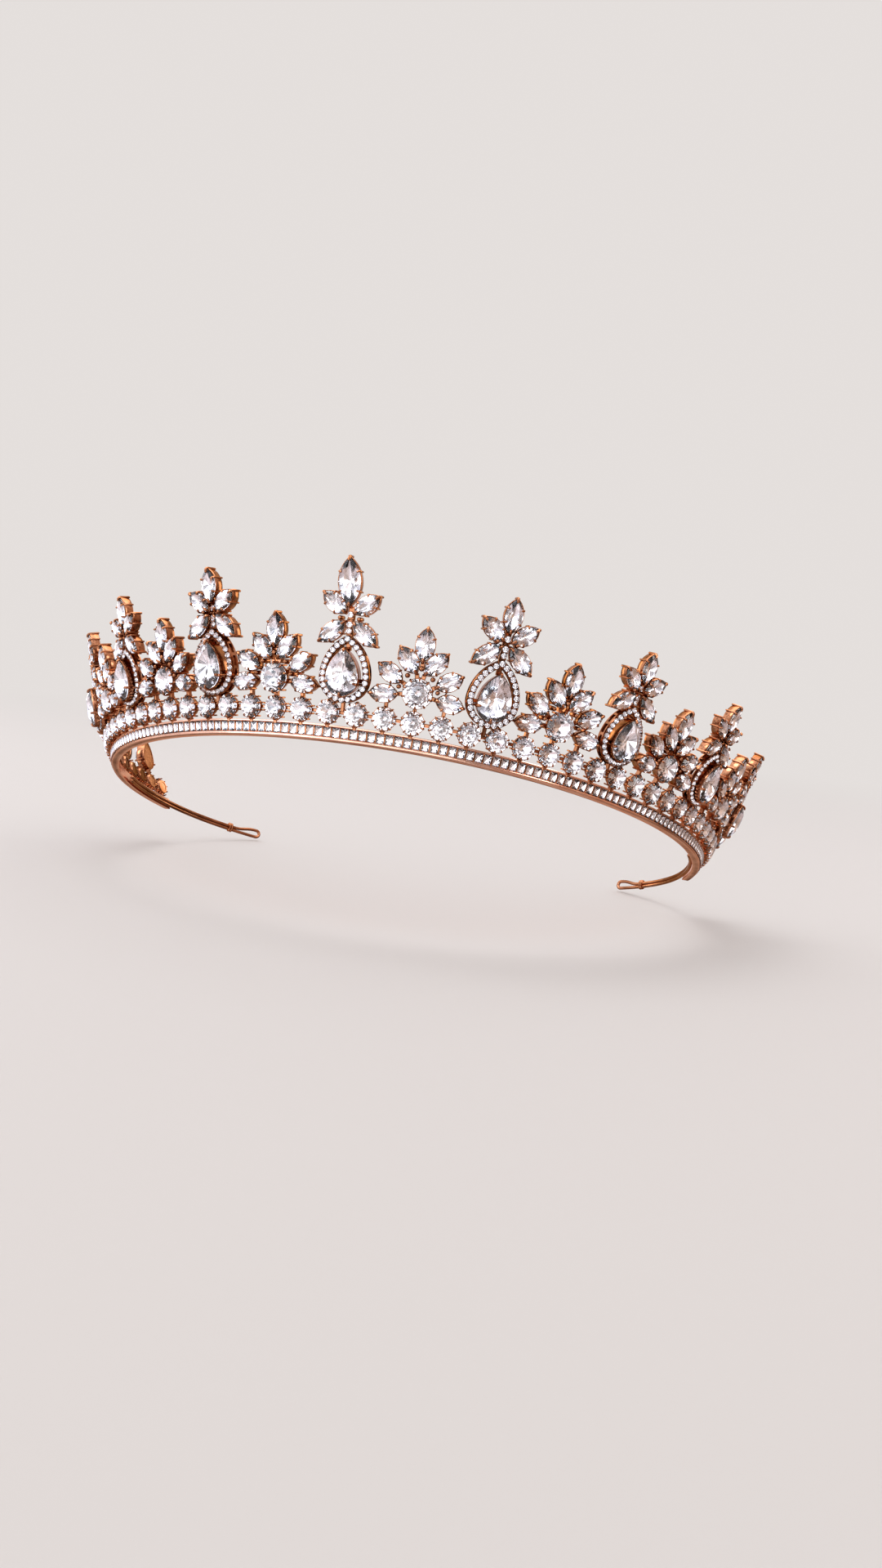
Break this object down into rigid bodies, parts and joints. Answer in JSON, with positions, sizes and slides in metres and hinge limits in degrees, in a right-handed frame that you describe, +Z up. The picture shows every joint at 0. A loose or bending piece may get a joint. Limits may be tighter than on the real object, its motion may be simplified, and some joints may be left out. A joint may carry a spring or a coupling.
{
  "type": "bridal tiara",
  "caption": "Rose-gold bridal tiara, open at the back, with a row of round stones, pear-stone spires, leaf fans and wire end loops for hairpins.",
  "frame": {"origin": "on the plane that the band stands on, under the middle of the tiara's bounding box", "axes": "+Z up; -Y towards the tiara's front; +X towards the wearer's left, across the head"},
  "size_m": [0.176, 0.1371, 0.0359],
  "materials": {
    "rose_gold": "polished rose-gold plating",
    "clear_stone": "cut and polished, colourless"
  },
  "bodies": {
    "root": {"band": "rose_gold", "row_settings": "rose_gold", "spire_1_frame": "rose_gold", "spire_2_frame": "rose_gold", "spire_3_frame": "rose_gold", "spire_4_frame": "rose_gold", "spire_5_frame": "rose_gold", "spire_6_frame": "rose_gold", "spire_7_frame": "rose_gold", "spire_8_frame": "rose_gold", "spire_9_frame": "rose_gold", "fan_1_frame": "rose_gold", "fan_2_frame": "rose_gold", "fan_3_frame": "rose_gold", "fan_4_frame": "rose_gold", "fan_5_frame": "rose_gold", "fan_6_frame": "rose_gold", "fan_7_frame": "rose_gold", "fan_8_frame": "rose_gold", "end_frame_left": "rose_gold", "end_frame_right": "rose_gold", "wire_left": "rose_gold", "wire_right": "rose_gold", "ferrule_left": "rose_gold", "ferrule_right": "rose_gold", "channel_stones": "clear_stone", "row_stones": "clear_stone", "spire_crest_stone": "clear_stone", "spire_leaf_stones": "clear_stone", "spire_stem_stones": "clear_stone", "fan_leaf_stones": "clear_stone", "end_pears": "clear_stone", "spire_1_pear": "clear_stone", "spire_2_pear": "clear_stone", "spire_3_pear": "clear_stone", "spire_4_pear": "clear_stone", "spire_5_pear": "clear_stone", "spire_6_pear": "clear_stone", "spire_7_pear": "clear_stone", "spire_8_pear": "clear_stone", "spire_9_pear": "clear_stone", "spire_1_halo_stones": "clear_stone", "spire_2_halo_stones": "clear_stone", "spire_3_halo_stones": "clear_stone", "spire_4_halo_stones": "clear_stone", "spire_5_halo_stones": "clear_stone", "spire_6_halo_stones": "clear_stone", "spire_7_halo_stones": "clear_stone", "spire_8_halo_stones": "clear_stone", "spire_9_halo_stones": "clear_stone", "fan_1_round": "clear_stone", "fan_2_round": "clear_stone", "fan_3_round": "clear_stone", "fan_4_round": "clear_stone", "fan_5_round": "clear_stone", "fan_6_round": "clear_stone", "fan_7_round": "clear_stone", "fan_8_round": "clear_stone"}
  },
  "joints": []
}
